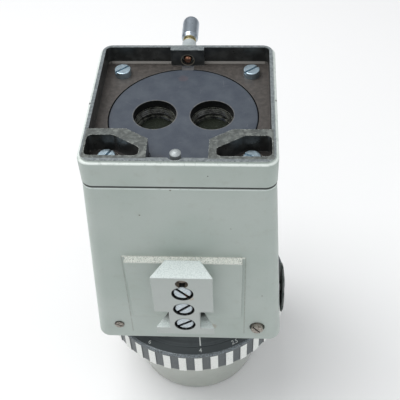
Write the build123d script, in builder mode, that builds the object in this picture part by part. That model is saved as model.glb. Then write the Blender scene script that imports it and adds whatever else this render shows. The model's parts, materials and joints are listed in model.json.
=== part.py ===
from build123d import *
import math
import os

os.makedirs("parts", exist_ok=True)

# Body of a stereo microscope with a common main objective: tube seat on top,
# zoom system inside, zoom ring and objective below, dovetail for the stand.
# Frame: origin at the centre of the tube seat, on its face. +Z up, out of the
# seat. -Y is the side with the stand dovetail, +Y the side with the clamp screw.

# ------------------------------------------------------------------ dimensions
SEAT_R = 32.0            # round seat plate
SEAT_GAP = 0.4
AX_Y = 0.8               # the optical axes stand this far behind the seat centre
PORT_X = 12.3            # half the stereo base
PORT_R = 9.36
PIN_X = -0.7             # the locating pin sits a little left of the centre line
RIM_Z = 8.6              # top of the tray rim above the seat
LIP_H = 1.1
LIP_IN = 1.2
SPLIT_Z = -5.5           # joint between tray frame and main housing
TRAY_X = 39.7
TRAY_YF, TRAY_YB = -37.3, 40.0
TRAY_R = 5.4
PKT_X = 37.0
PKT_YF, PKT_YB = -34.3, 37.4
CLAMP_Z = 3.0            # axis of the clamp screw above the seat
BODY_BOT = -109.0
TOP_X, BOT_X = 39.5, 45.5
TOP_YF, BOT_YF = -37.0, -43.0
TOP_YB, BOT_YB = 39.8, 45.8
TOP_CR, BOT_CR = 5.0, 6.0
WALL = 3.0
DECK_T = 4.0
BOSS_Y = -42.7           # face of the dovetail pad
BOSS_X = 26.1
BOSS_TOP, BOSS_BOT = -47.6, -89.9
DOVE_Y = -52.4           # front face of the dovetail
DOVE_TOP, DOVE_BOT = -45.4, -89.6
DOVE_W = 13.4            # half width at the front face
DOVE_ROOT = 7.8          # half width at the pad
DOVE_SCREWS = (-57.2, -69.4, -81.6)
SCREW_X, SCREW_YF, SCREW_YB = 29.25, -27.0, 28.6
ROD_DY = 9.0
ROD_R = 2.0
DRUM_Y = 24.1            # cam drum axis
DRUM_R = 9.0
PIN_Y = 35.8             # pinion shaft axis
KNOB_Y, KNOB_Z = -24.0, -90.4
RUN = 0.05               # radial running clearance


def body_half(z):
    """outer half width, front and back of the housing at height z"""
    k = (SPLIT_Z - z) / (SPLIT_Z - BODY_BOT)
    return (TOP_X + k * (BOT_X - TOP_X), TOP_YF + k * (BOT_YF - TOP_YF),
            TOP_YB + k * (BOT_YB - TOP_YB), TOP_CR + k * (BOT_CR - TOP_CR))


def dome_mid(r, u):
    """middle point of the arc of a dome of radius r and rise u, from the dome's foot level"""
    rc = (r * r + u * u) / (2 * u)
    half = math.asin(r / rc) / 2
    return rc * math.sin(half), u - rc + rc * math.cos(half)


def gear_points(n, tip, root, w_tip, w_root, phase=0.0):
    """outline of an external gear: w_* are half widths of a tooth in mm"""
    pts = []
    for i in range(n):
        a = phase + 2 * math.pi * i / n
        for r, w in ((root, -w_root), (tip, -w_tip), (tip, w_tip), (root, w_root)):
            b = a + math.asin(w / r)
            pts.append((r * math.cos(b), r * math.sin(b)))
    return pts


def ring_profile(points):
    """closed profile in the X-Z plane through the main axis"""
    with BuildSketch(Plane(origin=(0, AX_Y, 0), x_dir=(1, 0, 0), z_dir=(0, -1, 0))) as sk:
        with BuildLine():
            Polyline(*points, close=True)
        make_face()
    return sk


# ------------------------------------------------------------------ tray frame
def corner_block(s):
    return [(s * 38.0, -17.7), (s * 21.6, -17.7), (s * 12.3, -23.6), (s * 12.2, -35.0), (s * 38.0, -35.0)]


def corner_pocket(s):
    return [(s * 37.0, -21.4), (s * 26.6, -21.4), (s * 15.2, -28.6), (s * 15.2, -33.2), (s * 37.0, -33.2)]


with BuildPart() as tray_frame:
    with BuildSketch(Plane.XY.offset(SPLIT_Z)):
        with Locations((0, (TRAY_YF + TRAY_YB) / 2)):
            RectangleRounded(2 * TRAY_X, TRAY_YB - TRAY_YF, TRAY_R)
    extrude(amount=RIM_Z - LIP_H - SPLIT_Z)
    fillet(tray_frame.faces().sort_by(Axis.Z)[-1].edges(), 0.8)
    chamfer(tray_frame.faces().sort_by(Axis.Z)[0].edges(), 0.6)
    with BuildSketch(Plane.XY.offset(RIM_Z - LIP_H)):
        with Locations((0, (TRAY_YF + TRAY_YB) / 2)):
            RectangleRounded(2 * (TRAY_X - LIP_IN), TRAY_YB - TRAY_YF - 2 * LIP_IN, TRAY_R - 0.9)
    extrude(amount=LIP_H)
    # pocket between the rim walls, leaving the corner blocks and the clamp block
    with BuildSketch(Plane.XY):
        with Locations((0, (PKT_YF + PKT_YB) / 2)):
            RectangleRounded(2 * PKT_X, PKT_YB - PKT_YF, 2.2)
        with Locations((0, PKT_YB)):
            Rectangle(15.2, 4.4, mode=Mode.SUBTRACT)
        for s in (-1, 1):
            with BuildLine():
                Polyline(*corner_block(s), close=True)
            make_face(mode=Mode.SUBTRACT)
    extrude(amount=RIM_Z + 1, mode=Mode.SUBTRACT)
    # screw pockets inside the corner blocks
    for s in (-1, 1):
        with BuildSketch(Plane.XY) as pocket:
            with BuildLine():
                Polyline(*corner_pocket(s), close=True)
            make_face()
            fillet(pocket.vertices().sort_by(SortBy.DISTANCE)[0:3], 2.1)
            fillet(pocket.vertices().group_by(Axis.X)[-1 if s > 0 else 0], 2.2)
        extrude(amount=RIM_Z + 1, mode=Mode.SUBTRACT)
    # opening for the seat plate
    with BuildSketch(Plane.XY.offset(SPLIT_Z)):
        Circle(SEAT_R + SEAT_GAP)
    extrude(amount=-SPLIT_Z, mode=Mode.SUBTRACT)
    # half-round relief in the front wall beside the locating pin
    with BuildSketch(Plane.XY):
        with Locations((PIN_X, -32.0)):
            Circle(3.8)
    extrude(amount=RIM_Z + 1, mode=Mode.SUBTRACT)
    with BuildSketch(Plane.XY.offset(SPLIT_Z)):
        with Locations((PIN_X, -32.0)):
            Circle(2.3)
    extrude(amount=-SPLIT_Z, mode=Mode.SUBTRACT)
    # clamp screw bore and the milled relief in front of it
    with BuildSketch(Plane(origin=(0, 34.0, CLAMP_Z), x_dir=(1, 0, 0), z_dir=(0, 1, 0))):
        Circle(2.75)
    extrude(amount=10, mode=Mode.SUBTRACT)
    with BuildSketch(Plane(origin=(0, 30.0, CLAMP_Z), x_dir=(1, 0, 0), z_dir=(0, 1, 0))):
        Circle(4.2)
    extrude(amount=5.2, mode=Mode.SUBTRACT)
    # screw holes and spot faces
    with BuildSketch(Plane.XY.offset(SPLIT_Z)):
        with Locations((-SCREW_X, SCREW_YF), (SCREW_X, SCREW_YF), (-SCREW_X, SCREW_YB), (SCREW_X, SCREW_YB)):
            Circle(2.2)
    extrude(amount=-SPLIT_Z, mode=Mode.SUBTRACT)
    with BuildSketch(Plane.XY.offset(-0.5)):
        with Locations((-SCREW_X, SCREW_YF), (SCREW_X, SCREW_YF)):
            Circle(5.0)
    extrude(amount=3, mode=Mode.SUBTRACT)
    # small bevel along the foot of the back wall
    for x0, x1 in ((-35.5, -7.6), (7.6, 35.5)):
        with BuildSketch(Plane.YZ.offset(x0)):
            with BuildLine():
                Polyline((PKT_YB + 0.2, -0.2), (PKT_YB - 0.8, -0.2), (PKT_YB - 0.8, 0.0), (PKT_YB, 0.8),
                         (PKT_YB + 0.2, 0.8), close=True)
            make_face()
        extrude(amount=x1 - x0)

# ------------------------------------------------------------------ seat plate
with BuildPart() as seat_plate:
    with BuildSketch(Plane.XY.offset(SPLIT_Z)):
        Circle(SEAT_R)
    extrude(amount=-SPLIT_Z)
    chamfer(seat_plate.faces().sort_by(Axis.Z)[-1].edges(), 0.3)
    with BuildSketch(Plane.XY.offset(SPLIT_Z)):
        with Locations((-PORT_X, AX_Y), (PORT_X, AX_Y)):
            Circle(PORT_R)
    extrude(amount=-SPLIT_Z, mode=Mode.SUBTRACT)
    with BuildSketch(Plane.XY.offset(SPLIT_Z)):
        with Locations((-PORT_X, AX_Y), (PORT_X, AX_Y)):
            Circle(10.0)
    extrude(amount=2.3, mode=Mode.SUBTRACT)
    with BuildSketch(Plane.XY.offset(SPLIT_Z)):
        with Locations((-20, -20), (20, -20), (-20, 20), (20, 20)):
            Circle(1.25)
    extrude(amount=4.0, mode=Mode.SUBTRACT)
    with BuildSketch(Plane.XY.offset(SPLIT_Z)):
        with Locations((PIN_X, -32.0)):
            Circle(2.3)
    extrude(amount=-SPLIT_Z, mode=Mode.SUBTRACT)

# shallow relief where the corner blocks of the tray reach over the plate
with BuildPart() as seat_relief:
    for s in (-1, 1):
        with BuildSketch(Plane.XY.offset(-0.4)) as under:
            with BuildLine():
                Polyline((s * 38.0, -17.3), (s * 21.4, -17.3), (s * 11.9, -23.3), (s * 11.8, -36.0), (s * 38.0, -36.0),
                         close=True)
            make_face()
        extrude(amount=1.0)
with BuildPart() as pin_relief:
    with BuildSketch(Plane.XY.offset(-0.4)):
        with Locations((PIN_X, -32.6)):
            Rectangle(5.4, 5.4)
    extrude(amount=1.0)
seat_plate.part = seat_plate.part - seat_relief.part - pin_relief.part

with BuildPart() as seat_plate_screws:
    with BuildSketch(Plane.XY.offset(-11.7)):
        with Locations((-20, -20), (20, -20), (-20, 20), (20, 20)):
            Circle(2.7)
    extrude(amount=2.2)
    with BuildSketch(Plane.XY.offset(-9.5)):
        with Locations((-20, -20), (20, -20), (-20, 20), (20, 20)):
            Circle(1.22)
    extrude(amount=7.4)
    with BuildSketch(Plane.XY.offset(-11.7)):
        with Locations((-20, -20), (20, -20), (-20, 20), (20, 20)):
            Rectangle(6, 0.8)
    extrude(amount=1.0, mode=Mode.SUBTRACT)

with BuildPart() as tray_screws:
    with BuildSketch(Plane.XY):
        with Locations((-SCREW_X, SCREW_YB), (SCREW_X, SCREW_YB)):
            Circle(3.7)
    extrude(amount=3.1)
    with BuildSketch(Plane.XY.offset(-0.5)):
        with Locations((-SCREW_X, SCREW_YF), (SCREW_X, SCREW_YF)):
            Circle(3.7)
    extrude(amount=3.1)
    fillet(tray_screws.faces().filter_by(Plane.XY).filter_by(lambda f: f.normal_at().Z > 0.5).edges(), 0.45)
    with BuildSketch(Plane.XY.offset(-9.3)):
        with Locations((-SCREW_X, SCREW_YF), (SCREW_X, SCREW_YF), (-SCREW_X, SCREW_YB), (SCREW_X, SCREW_YB)):
            Circle(1.95)
    extrude(amount=9.3)
    for x, y, zt, a in ((-SCREW_X, SCREW_YB, 3.1, 40), (SCREW_X, SCREW_YB, 3.1, 38),
                        (-SCREW_X, SCREW_YF, 2.6, 62), (SCREW_X, SCREW_YF, 2.6, -28)):
        with BuildSketch(Plane.XY.offset(zt - 1.2)):
            with Locations(Location((x, y, 0), (0, 0, a))):
                Rectangle(9, 1.0)
        extrude(amount=3, mode=Mode.SUBTRACT)

with BuildPart() as locating_pin:
    with BuildSketch(Plane(origin=(PIN_X, -32.0, 0), x_dir=(1, 0, 0), z_dir=(0, -1, 0))):
        with BuildLine():
            Polyline((0, SPLIT_Z), (2.25, SPLIT_Z), (2.25, 8.9))
            mid = dome_mid(2.25, 0.95)
            ThreePointArc((2.25, 8.9), (mid[0], 8.9 + mid[1]), (0, 9.85))
            Line((0, 9.85), (0, SPLIT_Z))
        make_face()
    revolve(axis=Axis((PIN_X, -32.0, 0), (0, 0, 1)))

# ------------------------------------------------------------------ tube clamp screw
CLAMP = Plane(origin=(0, 0, CLAMP_Z), x_dir=(0, 1, 0), z_dir=(1, 0, 0))
CLAMP_AX = Axis((0, 0, CLAMP_Z), (0, 1, 0))

with BuildPart() as clamp_bush:
    with BuildSketch(CLAMP):
        with BuildLine():
            Polyline((37.3, 2.08), (37.3, 2.72), (40.0, 2.72), (40.0, 4.3), (41.2, 4.3), (44.6, 3.4), (47.4, 3.3),
                     (47.4, 2.08), close=True)
        make_face()
    revolve(axis=CLAMP_AX)

with BuildPart() as clamp_spindle:
    with BuildSketch(CLAMP):
        with BuildLine():
            Polyline((36.6, 0), (36.6, 1.75), (36.9, 2.0), (58.0, 2.0), (58.0, 0), close=True)
        make_face()
    revolve(axis=CLAMP_AX)

with BuildPart() as clamp_neck_ring:
    with BuildSketch(CLAMP):
        with BuildLine():
            Polyline((47.9, 2.0), (47.9, 2.75), (48.2, 3.0), (49.0, 3.0), (49.0, 2.5), (49.5, 2.5), (49.5, 3.05),
                     (50.6, 3.05), (50.6, 2.0), close=True)
        make_face()
    revolve(axis=CLAMP_AX)

with BuildPart() as clamp_knob:
    with BuildSketch(CLAMP):
        with BuildLine():
            Polyline((58.0, 0), (58.0, 2.0), (50.6, 2.0), (50.6, 3.1), (52.4, 3.9), (63.5, 3.95))
            mid = dome_mid(3.95, 3.949)
            ThreePointArc((63.5, 3.95), (63.5 + mid[1], mid[0]), (67.449, 0))
            Line((67.449, 0), (58.0, 0))
        make_face()
    revolve(axis=CLAMP_AX)

with BuildPart() as plunger_tip:
    with BuildSketch(CLAMP):
        with BuildLine():
            mid = dome_mid(1.9, 1.3)
            ThreePointArc((34.7, 0), (36.0 - mid[1], mid[0]), (36.0, 1.9))
            Polyline((36.0, 1.9), (36.6, 1.9), (36.6, 0), (34.7, 0))
        make_face()
    revolve(axis=CLAMP_AX)

# ------------------------------------------------------------------ main housing
with BuildPart() as main_housing:
    for z in (SPLIT_Z, BODY_BOT):
        hx, yf, yb, cr = body_half(z)
        with BuildSketch(Plane.XY.offset(z)):
            with Locations((0, (yf + yb) / 2)):
                RectangleRounded(2 * hx, yb - yf, cr)
    loft()
    fillet(main_housing.faces().sort_by(Axis.Z)[0].edges(), 1.0)
    fillet(main_housing.faces().sort_by(Axis.Z)[-1].edges(), 0.5)
    with BuildPart(mode=Mode.PRIVATE) as cavity:
        for z in (SPLIT_Z - DECK_T, BODY_BOT - 0.5):
            hx, yf, yb, cr = body_half(z)
            with BuildSketch(Plane.XY.offset(z)):
                with Locations((0, (yf + yb) / 2)):
                    RectangleRounded(2 * (hx - WALL), yb - yf - 2 * WALL, cr - 1.5)
        loft()
    add(cavity.part, mode=Mode.SUBTRACT)
    # deck opening under the seat plate, screw holes in the deck
    with BuildSketch(Plane.XY.offset(SPLIT_Z - DECK_T - 1)):
        with Locations((0, AX_Y)):
            Circle(24.5)
    extrude(amount=DECK_T + 2, mode=Mode.SUBTRACT)
    with BuildSketch(Plane.XY.offset(SPLIT_Z - DECK_T - 1)):
        with Locations((-20, -20), (20, -20), (-20, 20), (20, 20)):
            Circle(1.6)
        with Locations((-SCREW_X, SCREW_YF), (SCREW_X, SCREW_YF), (-SCREW_X, SCREW_YB), (SCREW_X, SCREW_YB)):
            Circle(2.0)
        with Locations((-31.5, -12), (31.5, -12), (-31.5, 14), (31.5, 14)):
            Circle(1.25)
    extrude(amount=DECK_T + 2, mode=Mode.SUBTRACT)
    # raised pad for the dovetail
    with BuildSketch(Plane.XY.offset(BOSS_BOT)):
        with Locations((0, (BOSS_Y - 39.2) / 2)):
            Rectangle(2 * BOSS_X, -39.2 - BOSS_Y)
    extrude(amount=BOSS_TOP - BOSS_BOT)
    with BuildSketch(Plane(origin=(0, -50, 0), x_dir=(1, 0, 0), z_dir=(0, 1, 0))):
        with Locations(*[(0, -z) for z in DOVE_SCREWS]):
            Circle(2.5)
    extrude(amount=20, mode=Mode.SUBTRACT)
    # fixing screw holes low on the front
    with BuildSketch(Plane(origin=(0, -50, 0), x_dir=(1, 0, 0), z_dir=(0, 1, 0))):
        with Locations((33.8, 98.5)):
            Circle(3.65)
        with Locations((-33.8, 98.5)):
            Circle(2.4)
    extrude(amount=12.5, mode=Mode.SUBTRACT)
    # hole for the knob bush in the right wall
    with BuildSketch(Plane(origin=(35, KNOB_Y, KNOB_Z), x_dir=(0, 1, 0), z_dir=(1, 0, 0))):
        Circle(4.0)
    extrude(amount=20, mode=Mode.SUBTRACT)
    # rear posts for the base plate
    for s in (-1, 1):
        with BuildSketch(Plane.XY.offset(-104.0)):
            with Locations((s * 37.3, 38.2)):
                Rectangle(11, 11)
        extrude(amount=12)
    with BuildSketch(Plane.XY.offset(-104.0)):
        with Locations((-36, 37), (36, 37)):
            Circle(1.7)
    extrude(amount=9, mode=Mode.SUBTRACT)

# ------------------------------------------------------------------ dovetail for the stand
with BuildPart() as dovetail_block:
    with BuildSketch(Plane.XY.offset(DOVE_BOT)):
        with BuildLine():
            Polyline((-DOVE_ROOT, BOSS_Y), (-DOVE_W, DOVE_Y + 0.6), (-DOVE_W, DOVE_Y), (DOVE_W, DOVE_Y),
                     (DOVE_W, DOVE_Y + 0.6), (DOVE_ROOT, BOSS_Y), close=True)
        make_face()
    extrude(amount=DOVE_TOP - DOVE_BOT)
    chamfer(dovetail_block.faces().sort_by(Axis.Z)[-1].edges(), 0.3)
    # relief that parts the two guide lands
    for s in (-1, 1):
        with BuildSketch(Plane.XY.offset(-84.7)):
            with Locations((s * 12.1, (DOVE_Y + BOSS_Y) / 2)):
                Rectangle(10.2, 14)
        extrude(amount=13.4, mode=Mode.SUBTRACT)
    # counterbored screw holes and the stop pin hole
    with BuildSketch(Plane(origin=(0, DOVE_Y, 0), x_dir=(1, 0, 0), z_dir=(0, 1, 0))):
        with Locations(*[(0, -z) for z in DOVE_SCREWS]):
            Circle(4.75)
    extrude(amount=3.9, mode=Mode.SUBTRACT)
    with BuildSketch(Plane(origin=(0, DOVE_Y, 0), x_dir=(1, 0, 0), z_dir=(0, 1, 0))):
        with Locations(*[(0, -z) for z in DOVE_SCREWS]):
            Circle(2.6)
    extrude(amount=12, mode=Mode.SUBTRACT)
    with BuildSketch(Plane(origin=(0, DOVE_Y, 0), x_dir=(1, 0, 0), z_dir=(0, 1, 0))):
        with Locations((0, 50.0)):
            Circle(2.85)
    extrude(amount=6, mode=Mode.SUBTRACT)

with BuildPart() as dovetail_screws:
    with BuildSketch(Plane(origin=(0, DOVE_Y + 0.5, 0), x_dir=(1, 0, 0), z_dir=(0, 1, 0))):
        with Locations(*[(0, -z) for z in DOVE_SCREWS]):
            Circle(4.0)
    extrude(amount=3.4)
    chamfer(dovetail_screws.faces().filter_by(lambda f: f.normal_at().Y < -0.9).edges(), 0.35)
    with BuildSketch(Plane(origin=(0, DOVE_Y + 3.9, 0), x_dir=(1, 0, 0), z_dir=(0, 1, 0))):
        with Locations(*[(0, -z) for z in DOVE_SCREWS]):
            Circle(2.45)
    extrude(amount=11.0)
    for z, a in zip(DOVE_SCREWS, (48, -44, -36)):
        with BuildSketch(Plane(origin=(0, DOVE_Y + 0.4, z), x_dir=(1, 0, 0), z_dir=(0, 1, 0))):
            with Locations(Location((0, 0, 0), (0, 0, a))):
                Rectangle(10, 1.45)
        extrude(amount=1.5, mode=Mode.SUBTRACT)

with BuildPart() as stop_pin:
    with BuildSketch(Plane(origin=(0, DOVE_Y + 6.0, -50.0), x_dir=(1, 0, 0), z_dir=(0, -1, 0))):
        Circle(2.8)
    extrude(amount=3.6)
    chamfer(stop_pin.faces().sort_by(Axis.Y)[0].edges(), 0.5)

# fixing screws low on the front: both heads stand proud of the paint
with BuildPart() as chassis_screws:
    with BuildSketch(Plane(origin=(-33.8, -43.1, -98.5), x_dir=(1, 0, 0), z_dir=(0, 1, 0))):
        Circle(2.35)
    extrude(amount=4.0)
    with BuildSketch(Plane(origin=(33.8, -44.4, -98.5), x_dir=(1, 0, 0), z_dir=(0, 1, 0))):
        Circle(2.9)
    extrude(amount=5.3)
    chamfer(chassis_screws.faces().filter_by(lambda f: f.normal_at().Y < -0.9).edges(), 0.3)
    with BuildSketch(Plane(origin=(0, -39.1, -98.5), x_dir=(1, 0, 0), z_dir=(0, 1, 0))):
        with Locations((-33.8, 0), (33.8, 0)):
            Circle(1.45)
    extrude(amount=3.6)
    for x, y, a in ((-33.8, -43.3, 25), (33.8, -44.6, 50)):
        with BuildSketch(Plane(origin=(x, y, -98.5), x_dir=(1, 0, 0), z_dir=(0, 1, 0))):
            with Locations(Location((0, 0, 0), (0, 0, a))):
                Rectangle(8, 0.8)
        extrude(amount=1.1, mode=Mode.SUBTRACT)

# ------------------------------------------------------------------ port cells and relay lenses
CELL = [(8.75, -3.4), (9.9, -3.4), (9.9, -5.6), (11.4, -5.6), (11.4, -8.0), (10.4, -8.0), (10.4, -27.0),
        (7.6, -27.0), (7.6, -12.6), (9.0, -12.6), (9.0, -7.6), (8.75, -7.2), (8.75, -6.6), (8.95, -6.4),
        (8.75, -6.2), (8.75, -5.6), (8.95, -5.4), (8.75, -5.2), (8.75, -4.6), (8.95, -4.4), (8.75, -4.2)]


def port_axis(s):
    return Axis((s * PORT_X, AX_Y, 0), (0, 0, 1))


def port_plane(s):
    return Plane(origin=(s * PORT_X, AX_Y, 0), x_dir=(1, 0, 0), z_dir=(0, -1, 0))


with BuildPart() as port_cell_left:
    with BuildSketch(port_plane(-1)):
        with BuildLine():
            Polyline(*CELL, close=True)
        make_face()
    revolve(axis=port_axis(-1))

with BuildPart() as port_cell_right:
    with BuildSketch(port_plane(1)):
        with BuildLine():
            Polyline(*CELL, close=True)
        make_face()
    revolve(axis=port_axis(1))


def lens_face(r, z0, z1, up, down):
    """half section of a lens: edge from z0 to z1, surfaces bulging by up and down"""
    with BuildLine() as outline:
        Line((0, z0 - down), (0, z1 + up))
        if up:
            mid = dome_mid(r, up)
            ThreePointArc((0, z1 + up), (mid[0], z1 + mid[1]), (r, z1))
        else:
            Line((0, z1), (r, z1))
        Line((r, z1), (r, z0))
        if down:
            mid = dome_mid(r, down)
            ThreePointArc((r, z0), (mid[0], z0 - mid[1]), (0, z0 - down))
        else:
            Line((r, z0), (0, z0))
    make_face(outline.edges())


with BuildPart() as relay_lens_left:
    with BuildSketch(port_plane(-1)):
        lens_face(8.92, -12.6, -9.4, 1.2, 0)
    revolve(axis=port_axis(-1))

with BuildPart() as relay_lens_right:
    with BuildSketch(port_plane(1)):
        lens_face(8.92, -12.6, -9.4, 1.2, 0)
    revolve(axis=port_axis(1))

with BuildPart() as port_retaining_rings:
    with BuildSketch(Plane.XY.offset(-9.1)):
        with Locations((-PORT_X, AX_Y), (PORT_X, AX_Y)):
            Circle(8.92)
            Circle(7.9, mode=Mode.SUBTRACT)
    extrude(amount=1.4)
    with BuildSketch(Plane.XY.offset(-8.4)):
        with Locations((-PORT_X, AX_Y), (PORT_X, AX_Y)):
            Rectangle(20, 1.0)
    extrude(amount=3, mode=Mode.SUBTRACT)

# ------------------------------------------------------------------ bracket under the deck, rods
with BuildPart() as rod_bracket:
    with BuildSketch(Plane.XY.offset(-13.6)):
        with Locations((0, 4.0)):
            RectangleRounded(69.0, 56.0, 3)
        with Locations((-PORT_X, AX_Y), (PORT_X, AX_Y)):
            Circle(11.8, mode=Mode.SUBTRACT)
        with Locations((-20, -20), (20, -20), (-20, 20), (20, 20)):
            Circle(3.6, mode=Mode.SUBTRACT)
        with Locations((-31.5, -12), (31.5, -12), (-31.5, 14), (31.5, 14)):
            Circle(1.6, mode=Mode.SUBTRACT)
    extrude(amount=4.1)
    with BuildSketch(Plane.XY.offset(-18.0)):
        with Locations((0, AX_Y - ROD_DY), (0, AX_Y + ROD_DY)):
            Circle(3.6)
        with Locations((0, DRUM_Y)):
            Circle(6.0)
    extrude(amount=4.4)
    with BuildSketch(Plane.XY.offset(-18.0)):
        with Locations((0, AX_Y - ROD_DY), (0, AX_Y + ROD_DY)):
            Circle(2.02)
        with Locations((0, DRUM_Y)):
            Circle(3.0 + RUN)
    extrude(amount=7.5, mode=Mode.SUBTRACT)

with BuildPart() as bracket_screws:
    with BuildSketch(Plane.XY.offset(-15.6)):
        with Locations((-31.5, -12), (31.5, -12), (-31.5, 14), (31.5, 14)):
            Circle(2.7)
    extrude(amount=2.0)
    with BuildSketch(Plane.XY.offset(-13.6)):
        with Locations((-31.5, -12), (31.5, -12), (-31.5, 14), (31.5, 14)):
            Circle(1.22)
    extrude(amount=7.6)
    with BuildSketch(Plane.XY.offset(-15.6)):
        with Locations((-31.5, -12), (31.5, -12), (-31.5, 14), (31.5, 14)):
            Rectangle(6, 0.8)
    extrude(amount=0.9, mode=Mode.SUBTRACT)

with BuildPart() as guide_rods:
    with BuildSketch(Plane.XY.offset(-108.0)):
        with Locations((0, AX_Y - ROD_DY), (0, AX_Y + ROD_DY)):
            Circle(ROD_R)
    extrude(amount=97.0)

# ------------------------------------------------------------------ base plate
with BuildPart() as base_plate:
    with BuildSketch(Plane.XY.offset(-109.0)):
        with Locations((0, 1.45)):
            RectangleRounded(83.6, 81.7, 3.0)
        with Locations((-PORT_X, AX_Y), (PORT_X, AX_Y)):
            Circle(9.2, mode=Mode.SUBTRACT)
        with Locations((0, AX_Y - ROD_DY), (0, AX_Y + ROD_DY)):
            Circle(2.02, mode=Mode.SUBTRACT)
        with Locations((0, DRUM_Y)):
            Circle(3.0 + RUN, mode=Mode.SUBTRACT)
        with Locations((0, PIN_Y)):
            Circle(2.5 + RUN, mode=Mode.SUBTRACT)
        with Locations((-36, 37), (36, 37)):
            Circle(1.8, mode=Mode.SUBTRACT)
        with Locations((0, AX_Y)):
            with PolarLocations(36.5, 3, 60):
                Circle(1.25, mode=Mode.SUBTRACT)
    extrude(amount=5.0)
    for s in (-1, 1):
        with BuildSketch(Plane.XY.offset(-104.0)):
            with Locations((s * 33.5, -37.2)):
                Rectangle(8.0, 3.4)
        extrude(amount=11)
    with BuildSketch(Plane(origin=(0, -42, -98.5), x_dir=(1, 0, 0), z_dir=(0, 1, 0))):
        with Locations((-33.8, 0), (33.8, 0)):
            Circle(1.5)
    extrude(amount=12, mode=Mode.SUBTRACT)
    with BuildSketch(Plane.XY.offset(-109.0)):
        with Locations((-36, 37), (36, 37)):
            Circle(3.4)
    extrude(amount=2.2, mode=Mode.SUBTRACT)

with BuildPart() as base_plate_screws:
    with BuildSketch(Plane.XY.offset(-108.8)):
        with Locations((-36, 37), (36, 37)):
            Circle(3.1)
    extrude(amount=2.0)
    with BuildSketch(Plane.XY.offset(-106.8)):
        with Locations((-36, 37), (36, 37)):
            Circle(1.6)
    extrude(amount=11)
    with BuildSketch(Plane.XY.offset(-108.8)):
        with Locations((-36, 37), (36, 37)):
            Rectangle(8, 0.9)
    extrude(amount=0.9, mode=Mode.SUBTRACT)

# ------------------------------------------------------------------ zoom carriages
UP_Z, LOW_Z = -49.0, -82.0     # undersides of the carriages at rest
CAR_T = 8.0


def carriage_body(z0):
    """plate with two lens seats, two rod bores and the hub for its follower pin"""
    with BuildSketch(Plane.XY.offset(z0)) as plate:
        with Locations((0, AX_Y)):
            RectangleRounded(46.8, 22.4, 9.0)
        with Locations((0, 11.5)):
            Rectangle(10, 5.0)
        with Locations((-PORT_X, AX_Y), (PORT_X, AX_Y)):
            Circle(9.0, mode=Mode.SUBTRACT)
        with Locations((0, AX_Y - ROD_DY), (0, AX_Y + ROD_DY)):
            Circle(ROD_R + RUN, mode=Mode.SUBTRACT)
    extrude(plate.sketch, amount=CAR_T)
    # shoulders that carry the lenses
    with BuildSketch(Plane.XY.offset(z0)) as shoulders:
        with Locations((-PORT_X, AX_Y), (PORT_X, AX_Y)):
            Circle(9.0)
            Circle(8.0, mode=Mode.SUBTRACT)
    extrude(shoulders.sketch, amount=1.2)
    with BuildSketch(Plane(origin=(0, 12.3, z0 + CAR_T / 2), x_dir=(1, 0, 0), z_dir=(0, 1, 0))) as pin_hole:
        Circle(1.3)
    extrude(pin_hole.sketch, amount=4, mode=Mode.SUBTRACT)


with BuildPart() as upper_carriage:
    carriage_body(UP_Z)

with BuildPart() as lower_carriage:
    carriage_body(LOW_Z)

with BuildPart() as upper_zoom_lenses:
    for s in (-1, 1):
        with BuildSketch(port_plane(s)):
            lens_face(8.95, UP_Z + 1.2, UP_Z + 4.4, 0, 0)
        revolve(axis=port_axis(s))

with BuildPart() as lower_zoom_lenses:
    for s in (-1, 1):
        with BuildSketch(port_plane(s)):
            lens_face(8.95, LOW_Z + 1.2, LOW_Z + 4.8, 1.2, 0)
        revolve(axis=port_axis(s))

with BuildPart() as upper_lens_rings:
    with BuildSketch(Plane.XY.offset(UP_Z + 4.4)):
        with Locations((-PORT_X, AX_Y), (PORT_X, AX_Y)):
            Circle(8.95)
            Circle(8.0, mode=Mode.SUBTRACT)
    extrude(amount=2.0)

with BuildPart() as lower_lens_rings:
    with BuildSketch(Plane.XY.offset(LOW_Z + 5.1)):
        with Locations((-PORT_X, AX_Y), (PORT_X, AX_Y)):
            Circle(8.95)
            Circle(8.0, mode=Mode.SUBTRACT)
    extrude(amount=2.0)

with BuildPart() as upper_follower_pin:
    with BuildSketch(Plane(origin=(0, 12.3, UP_Z + CAR_T / 2), x_dir=(1, 0, 0), z_dir=(0, 1, 0))):
        Circle(1.28)
    extrude(amount=4.4)

with BuildPart() as lower_follower_pin:
    with BuildSketch(Plane(origin=(0, 12.3, LOW_Z + CAR_T / 2), x_dir=(1, 0, 0), z_dir=(0, 1, 0))):
        Circle(1.28)
    extrude(amount=4.4)

# ------------------------------------------------------------------ cam drum with two helical grooves
LEAD = 16.0              # carriage travel per turn of the drum
GROOVE_TURNS = 1.34      # a little over the working 450 degrees
GROOVE_H = LEAD * GROOVE_TURNS


DRUM_AX = Axis((0, DRUM_Y, 0), (0, 0, 1))

# the grooves are cut with a rectangle swept along a helix, turned so that the
# middle of each groove faces the carriages
with BuildPart() as upper_groove:
    with BuildLine() as upper_path:
        Helix(pitch=LEAD, height=GROOVE_H, radius=DRUM_R - 1.0,
              center=(0, DRUM_Y, UP_Z + CAR_T / 2 - GROOVE_H / 2))
    start = upper_path.line @ 0
    with BuildSketch(Plane(origin=start, x_dir=(start.X, start.Y - DRUM_Y, 0), z_dir=upper_path.line % 0)):
        Rectangle(4.6, 2.9)
    sweep(path=upper_path.line, is_frenet=True)

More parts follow.
